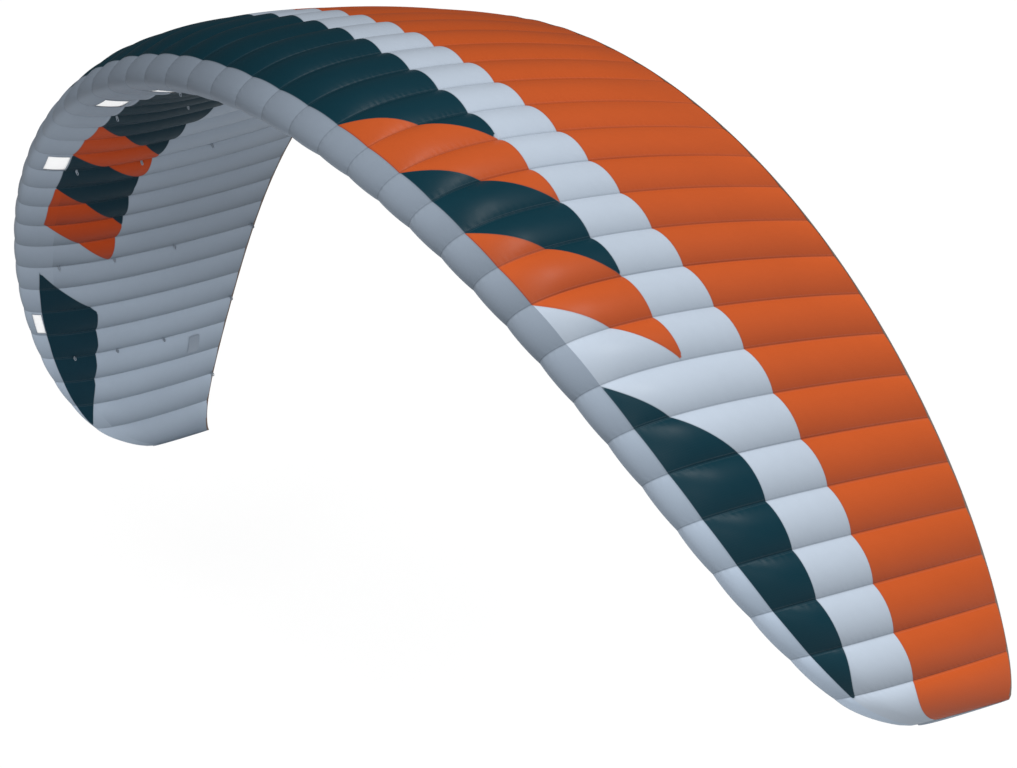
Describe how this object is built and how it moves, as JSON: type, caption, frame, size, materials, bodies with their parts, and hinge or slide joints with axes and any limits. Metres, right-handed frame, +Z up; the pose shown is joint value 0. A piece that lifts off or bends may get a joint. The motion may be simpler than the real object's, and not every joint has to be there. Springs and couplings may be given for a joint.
{
  "type": "kitesurf kite",
  "caption": "Arched ram-air kitesurf kite, inflated: sewn cells over inner ribs, intake mouths with flaps, bridle loops, deflation zip, and tips that twist and bend",
  "frame": {"origin": "the middle of the front row of bridle loops, on the lower skin of the centre cell", "axes": "+X along the span, +Y towards the trailing edge, +Z up out of the arch"},
  "size_m": [4.31, 1.3221, 1.808],
  "materials": {
    "upper_skin_centre": "smooth coated nylon",
    "lower_skin_centre": "smooth coated nylon",
    "nose_band_centre": "heavier coated nylon",
    "upper_skin_left_inner": "smooth coated nylon",
    "lower_skin_left_inner": "smooth coated nylon",
    "nose_band_left_inner": "heavier coated nylon",
    "upper_skin_right_inner": "smooth coated nylon",
    "lower_skin_right_inner": "smooth coated nylon",
    "nose_band_right_inner": "heavier coated nylon",
    "upper_skin_left_middle": "smooth coated nylon",
    "lower_skin_left_middle": "smooth coated nylon",
    "nose_band_left_middle": "heavier coated nylon",
    "upper_skin_right_middle": "smooth coated nylon",
    "lower_skin_right_middle": "smooth coated nylon",
    "nose_band_right_middle": "heavier coated nylon",
    "ribs_centre": "coated cloth",
    "nose_battens_centre": "drawn nylon",
    "span_tapes_centre": "coated cloth",
    "trailing_hem_centre": "folded hem tape",
    "bridle_loops_centre": "woven webbing",
    "zip_tape": "woven zip tape",
    "joint_rib_left": "coated cloth",
    "upper_skin_left_tip": "smooth coated nylon",
    "lower_skin_left_tip": "smooth coated nylon",
    "nose_band_left_tip": "heavier coated nylon",
    "upper_skin_left_outer": "smooth coated nylon",
    "lower_skin_left_outer": "smooth coated nylon",
    "nose_band_left_outer": "heavier coated nylon",
    "ribs_left": "coated cloth",
    "nose_battens_left": "drawn nylon",
    "span_tapes_left": "coated cloth",
    "trailing_hem_left": "folded hem tape",
    "bridle_loops_left": "woven webbing",
    "tip_panel_left": "smooth coated nylon",
    "joint_rib_right": "coated cloth",
    "upper_skin_right_tip": "smooth coated nylon",
    "lower_skin_right_tip": "smooth coated nylon",
    "nose_band_right_tip": "heavier coated nylon",
    "upper_skin_right_outer": "smooth coated nylon",
    "lower_skin_right_outer": "smooth coated nylon",
    "nose_band_right_outer": "heavier coated nylon",
    "ribs_right": "coated cloth",
    "nose_battens_right": "drawn nylon",
    "span_tapes_right": "coated cloth",
    "trailing_hem_right": "folded hem tape",
    "bridle_loops_right": "woven webbing",
    "tip_panel_right": "smooth coated nylon",
    "intake_flap_left_1": "white valve cloth",
    "intake_flap_left_2": "white valve cloth",
    "intake_flap_left_3": "white valve cloth",
    "intake_flap_left_4": "white valve cloth",
    "intake_flap_right_1": "white valve cloth",
    "intake_flap_right_2": "white valve cloth",
    "intake_flap_right_3": "white valve cloth",
    "intake_flap_right_4": "white valve cloth",
    "zip_slider": "moulded",
    "zip_pull": "moulded",
    "drain_flap_left": "cloth over hook and loop",
    "drain_flap_right": "cloth over hook and loop"
  },
  "bodies": {
    "centre_wing": {"upper_skin_centre": "upper_skin_centre", "lower_skin_centre": "lower_skin_centre", "nose_band_centre": "nose_band_centre", "upper_skin_left_inner": "upper_skin_left_inner", "lower_skin_left_inner": "lower_skin_left_inner", "nose_band_left_inner": "nose_band_left_inner", "upper_skin_right_inner": "upper_skin_right_inner", "lower_skin_right_inner": "lower_skin_right_inner", "nose_band_right_inner": "nose_band_right_inner", "upper_skin_left_middle": "upper_skin_left_middle", "lower_skin_left_middle": "lower_skin_left_middle", "nose_band_left_middle": "nose_band_left_middle", "upper_skin_right_middle": "upper_skin_right_middle", "lower_skin_right_middle": "lower_skin_right_middle", "nose_band_right_middle": "nose_band_right_middle", "ribs_centre": "ribs_centre", "nose_battens_centre": "nose_battens_centre", "span_tapes_centre": "span_tapes_centre", "trailing_hem_centre": "trailing_hem_centre", "bridle_loops_centre": "bridle_loops_centre", "zip_tape": "zip_tape"},
    "bend_left": {"joint_rib_left": "joint_rib_left"},
    "tip_left": {"upper_skin_left_tip": "upper_skin_left_tip", "lower_skin_left_tip": "lower_skin_left_tip", "nose_band_left_tip": "nose_band_left_tip", "upper_skin_left_outer": "upper_skin_left_outer", "lower_skin_left_outer": "lower_skin_left_outer", "nose_band_left_outer": "nose_band_left_outer", "ribs_left": "ribs_left", "nose_battens_left": "nose_battens_left", "span_tapes_left": "span_tapes_left", "trailing_hem_left": "trailing_hem_left", "bridle_loops_left": "bridle_loops_left", "tip_panel_left": "tip_panel_left"},
    "bend_right": {"joint_rib_right": "joint_rib_right"},
    "tip_right": {"upper_skin_right_tip": "upper_skin_right_tip", "lower_skin_right_tip": "lower_skin_right_tip", "nose_band_right_tip": "nose_band_right_tip", "upper_skin_right_outer": "upper_skin_right_outer", "lower_skin_right_outer": "lower_skin_right_outer", "nose_band_right_outer": "nose_band_right_outer", "ribs_right": "ribs_right", "nose_battens_right": "nose_battens_right", "span_tapes_right": "span_tapes_right", "trailing_hem_right": "trailing_hem_right", "bridle_loops_right": "bridle_loops_right", "tip_panel_right": "tip_panel_right"},
    "flap_left_1": {"intake_flap_left_1": "intake_flap_left_1"},
    "flap_left_2": {"intake_flap_left_2": "intake_flap_left_2"},
    "flap_left_3": {"intake_flap_left_3": "intake_flap_left_3"},
    "flap_left_4": {"intake_flap_left_4": "intake_flap_left_4"},
    "flap_right_1": {"intake_flap_right_1": "intake_flap_right_1"},
    "flap_right_2": {"intake_flap_right_2": "intake_flap_right_2"},
    "flap_right_3": {"intake_flap_right_3": "intake_flap_right_3"},
    "flap_right_4": {"intake_flap_right_4": "intake_flap_right_4"},
    "zip_slider": {"zip_slider": "zip_slider"},
    "zip_pull": {"zip_pull": "zip_pull"},
    "drain_left": {"drain_flap_left": "drain_flap_left"},
    "drain_right": {"drain_flap_right": "drain_flap_right"}
  },
  "joints": [
    {"name": "arch_bend_left", "type": "hinge", "parent": "centre_wing", "child": "bend_left", "pos_m": [-1.48029, 0.33516, -0.48251], "axis": [0.0599, -0.996, -0.0667], "range_deg": [-5, 5]},
    {"name": "tip_twist_left", "type": "hinge", "parent": "bend_left", "child": "tip_left", "pos_m": [-1.48029, 0.33516, -0.48251], "axis": [-0.7438, 0, -0.6684], "range_deg": [-4, 12]},
    {"name": "arch_bend_right", "type": "hinge", "parent": "centre_wing", "child": "bend_right", "pos_m": [1.48029, 0.33516, -0.48251], "axis": [0.0599, 0.996, 0.0667], "range_deg": [-5, 5]},
    {"name": "tip_twist_right", "type": "hinge", "parent": "bend_right", "child": "tip_right", "pos_m": [1.48029, 0.33516, -0.48251], "axis": [-0.7438, 0, 0.6684], "range_deg": [-4, 12]},
    {"name": "intake_flap_left_1", "type": "hinge", "parent": "centre_wing", "child": "flap_left_1", "pos_m": [-0.12529, -0.13178, 0.00707], "axis": [0.9981, -0.0177, 0.0585], "range_deg": [0, 45]},
    {"name": "intake_flap_left_2", "type": "hinge", "parent": "centre_wing", "child": "flap_left_2", "pos_m": [-0.49686, -0.11517, -0.04772], "axis": [0.9703, -0.0705, 0.2315], "range_deg": [0, 45]},
    {"name": "intake_flap_left_3", "type": "hinge", "parent": "centre_wing", "child": "flap_left_3", "pos_m": [-1.07678, -0.04238, -0.27965], "axis": [0.8533, -0.1612, 0.4959], "range_deg": [0, 45]},
    {"name": "intake_flap_left_4", "type": "hinge", "parent": "tip_left", "child": "flap_left_4", "pos_m": [-1.8029, 0.21205, -0.96093], "axis": [0.5075, -0.3873, 0.7697], "range_deg": [0, 45]},
    {"name": "intake_flap_right_1", "type": "hinge", "parent": "centre_wing", "child": "flap_right_1", "pos_m": [0.12529, -0.13178, 0.00707], "axis": [0.9981, 0.0177, -0.0585], "range_deg": [0, 45]},
    {"name": "intake_flap_right_2", "type": "hinge", "parent": "centre_wing", "child": "flap_right_2", "pos_m": [0.49686, -0.11517, -0.04772], "axis": [0.9703, 0.0705, -0.2315], "range_deg": [0, 45]},
    {"name": "intake_flap_right_3", "type": "hinge", "parent": "centre_wing", "child": "flap_right_3", "pos_m": [1.07678, -0.04238, -0.27965], "axis": [0.8533, 0.1612, -0.4959], "range_deg": [0, 45]},
    {"name": "intake_flap_right_4", "type": "hinge", "parent": "tip_right", "child": "flap_right_4", "pos_m": [1.8029, 0.21205, -0.96093], "axis": [0.5075, 0.3873, -0.7697], "range_deg": [0, 45]},
    {"name": "zip_slide", "type": "slide", "parent": "centre_wing", "child": "zip_slider", "axis": [-1, 0, 0], "range_m": [0, 0.2]},
    {"name": "zip_pull_swing", "type": "hinge", "parent": "zip_slider", "child": "zip_pull", "pos_m": [0.1, 0.96852, 0.15854], "axis": [0, 0.991, 0.134], "range_deg": [-80, 80]},
    {"name": "drain_flap_left", "type": "hinge", "parent": "tip_left", "child": "drain_left", "pos_m": [-1.96919, 0.95225, -1.15889], "axis": [-0.4422, 0, -0.8969], "range_deg": [0, 120]},
    {"name": "drain_flap_right", "type": "hinge", "parent": "tip_right", "child": "drain_right", "pos_m": [1.96919, 0.95225, -1.15889], "axis": [-0.4422, 0, 0.8969], "range_deg": [0, 120]}
  ]
}
